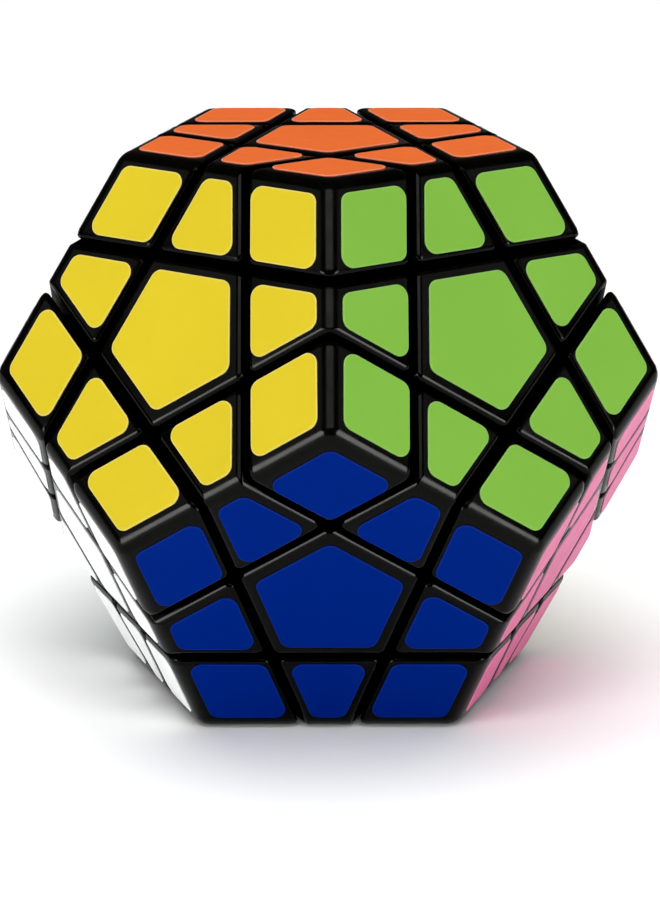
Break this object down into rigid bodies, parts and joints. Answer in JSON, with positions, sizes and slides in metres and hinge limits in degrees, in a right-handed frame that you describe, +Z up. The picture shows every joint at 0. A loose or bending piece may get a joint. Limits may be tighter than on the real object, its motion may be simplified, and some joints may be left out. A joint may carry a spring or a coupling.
{
  "type": "dodecahedron twisty puzzle",
  "caption": "Twelve-sided mechanical puzzle whose pentagonal layers turn on a sprung core, with coloured stickers on a black body.",
  "frame": {"origin": "centre of the core, which is the centre of the dodecahedron", "axes": "+Z up along the axis of the orange top face, -Y towards the front corner, where the yellow, green and blue faces meet, +X to the right seen from the front"},
  "size_m": [0.0812, 0.0852, 0.069],
  "materials": {
    "body_plastic": "satin moulded black ABS",
    "cap_plastic": "satin moulded black ABS",
    "core_nylon": "natural nylon",
    "steel": "zinc-plated steel",
    "sticker_orange": "satin vinyl film",
    "sticker_yellow": "satin vinyl film",
    "sticker_green": "satin vinyl film",
    "sticker_blue": "satin vinyl film",
    "sticker_white": "satin vinyl film",
    "sticker_pink": "satin vinyl film",
    "sticker_grey": "satin vinyl film",
    "sticker_sky": "satin vinyl film",
    "sticker_purple": "satin vinyl film",
    "sticker_cream": "satin vinyl film",
    "sticker_teal": "satin vinyl film",
    "sticker_red": "satin vinyl film"
  },
  "bodies": {
    "puzzle_frame": {"core": "core_nylon", "screws": "steel", "washers": "steel", "springs": "steel", "centre_bodies": "body_plastic", "centre_caps": "cap_plastic", "rear_corners": "body_plastic", "edge_yellow_green": "body_plastic", "edge_yellow_purple": "body_plastic", "edge_yellow_blue": "body_plastic", "edge_green_grey": "body_plastic", "edge_green_blue": "body_plastic", "edge_grey_sky": "body_plastic", "edge_grey_cream": "body_plastic", "edge_sky_purple": "body_plastic", "edge_sky_cream": "body_plastic", "edge_sky_teal": "body_plastic", "edge_purple_teal": "body_plastic", "edge_blue_red": "body_plastic", "edge_cream_teal": "body_plastic", "edge_cream_red": "body_plastic", "edge_teal_red": "body_plastic", "corner_yellow_green_blue": "body_plastic"},
    "top_layer": {"centre_body_orange": "body_plastic", "centre_cap_orange": "cap_plastic", "edge_orange_yellow": "body_plastic", "edge_orange_green": "body_plastic", "edge_orange_grey": "body_plastic", "edge_orange_sky": "body_plastic", "edge_orange_purple": "body_plastic", "corner_orange_yellow_green": "body_plastic", "corner_orange_yellow_purple": "body_plastic", "corner_orange_green_grey": "body_plastic", "corner_orange_grey_sky": "body_plastic", "corner_orange_sky_purple": "body_plastic"},
    "left_layer": {"centre_body_white": "body_plastic", "centre_cap_white": "cap_plastic", "edge_yellow_white": "body_plastic", "edge_purple_white": "body_plastic", "edge_blue_white": "body_plastic", "edge_teal_white": "body_plastic", "edge_white_red": "body_plastic", "corner_yellow_purple_white": "body_plastic", "corner_yellow_blue_white": "body_plastic", "corner_purple_teal_white": "body_plastic", "corner_blue_white_red": "body_plastic", "corner_teal_white_red": "body_plastic"},
    "right_layer": {"centre_body_pink": "body_plastic", "centre_cap_pink": "cap_plastic", "edge_green_pink": "body_plastic", "edge_grey_pink": "body_plastic", "edge_blue_pink": "body_plastic", "edge_pink_cream": "body_plastic", "edge_pink_red": "body_plastic", "corner_green_grey_pink": "body_plastic", "corner_green_blue_pink": "body_plastic", "corner_grey_pink_cream": "body_plastic", "corner_blue_pink_red": "body_plastic", "corner_pink_cream_red": "body_plastic"}
  },
  "joints": [
    {"name": "turn_top", "type": "hinge", "parent": "puzzle_frame", "child": "top_layer", "pos_m": [0, 0, 0], "axis": [0, 0, 1], "continuous": true},
    {"name": "turn_left", "type": "hinge", "parent": "puzzle_frame", "child": "left_layer", "pos_m": [0, 0, 0], "axis": [-0.8507, -0.2764, -0.4472], "continuous": true},
    {"name": "turn_right", "type": "hinge", "parent": "puzzle_frame", "child": "right_layer", "pos_m": [0, 0, 0], "axis": [0.8507, -0.2764, -0.4472], "continuous": true}
  ]
}
